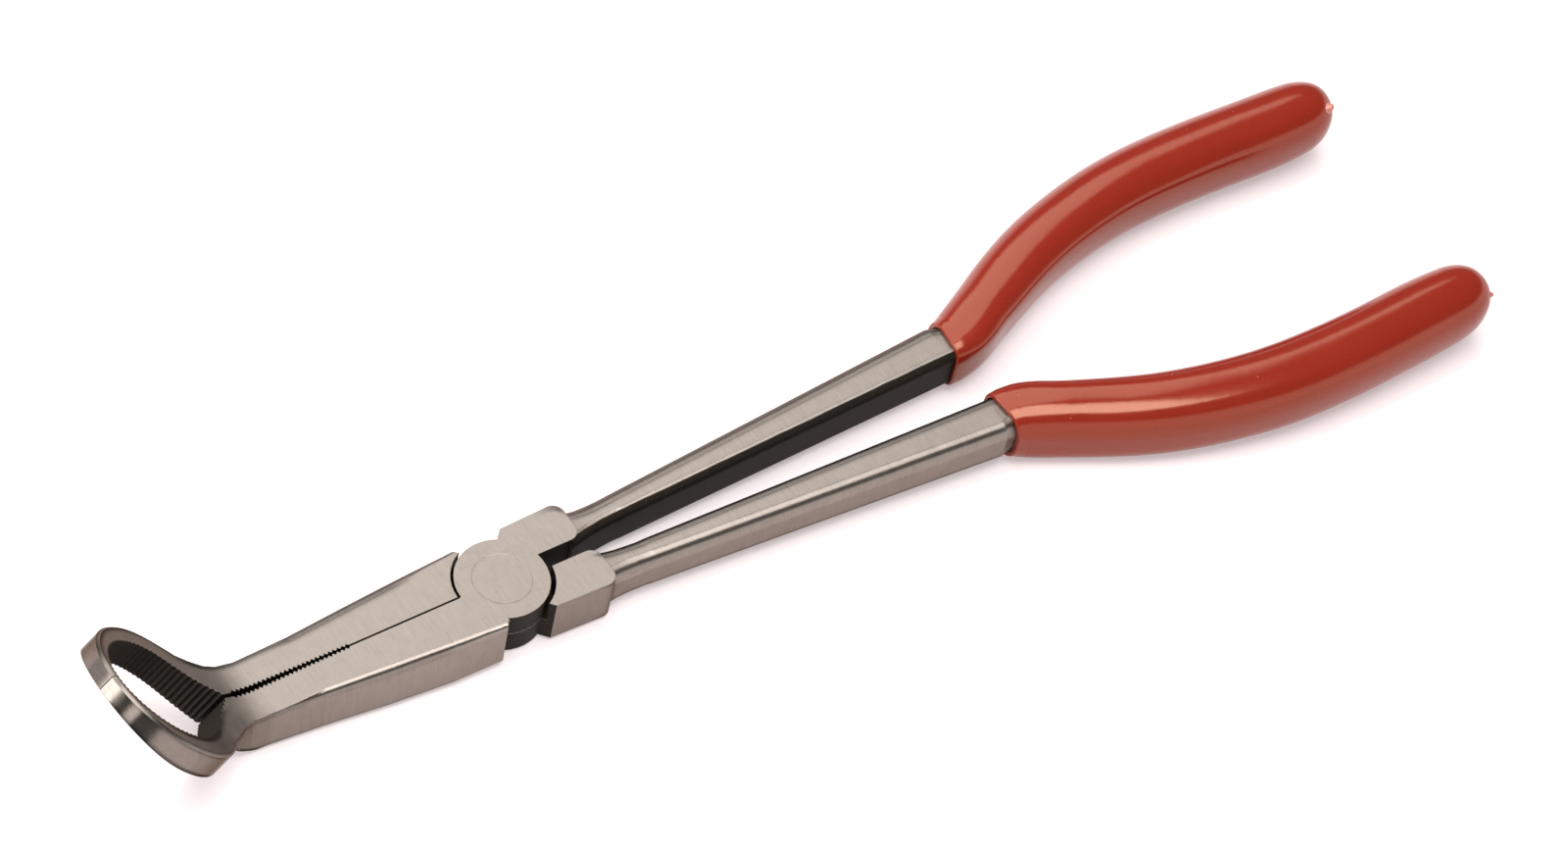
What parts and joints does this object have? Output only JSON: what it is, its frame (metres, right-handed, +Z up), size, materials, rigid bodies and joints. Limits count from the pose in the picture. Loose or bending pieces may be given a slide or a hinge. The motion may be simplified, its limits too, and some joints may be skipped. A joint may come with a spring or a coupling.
{
  "type": "long-reach hose-grip pliers",
  "caption": "Long-reach pliers with red dipped grips, serrated straight jaws and a split ring bent up at 45 degrees for gripping hoses and boots in tight places.",
  "frame": {"origin": "on the pivot axis, at the joint's underside, where the rivet's lower head is flush", "axes": "+Z up along the pivot axis, the side the ring is bent to; +X back along the closed handles; -X out along the jaws; +Y towards the top-lap lever's handle"},
  "size_m": [0.2778, 0.0648, 0.0331],
  "materials": {
    "lever_steel": "ground and satin-brushed outside, black oxide on the inner faces, teeth and lap walls",
    "rivet_steel": "ground flush and brushed with the joint's face",
    "grip_vinyl": "glossy dipped vinyl"
  },
  "bodies": {
    "top_lever": {"top_lap_lever": "lever_steel", "pivot_rivet": "rivet_steel", "top_lever_grip": "grip_vinyl"},
    "bottom_lever": {"bottom_lap_lever": "lever_steel", "bottom_lever_grip": "grip_vinyl"}
  },
  "joints": [
    {"name": "pivot", "type": "hinge", "parent": "top_lever", "child": "bottom_lever", "pos_m": [0, 0, 0], "axis": [0, 0, -1], "range_deg": [0, 48]}
  ]
}
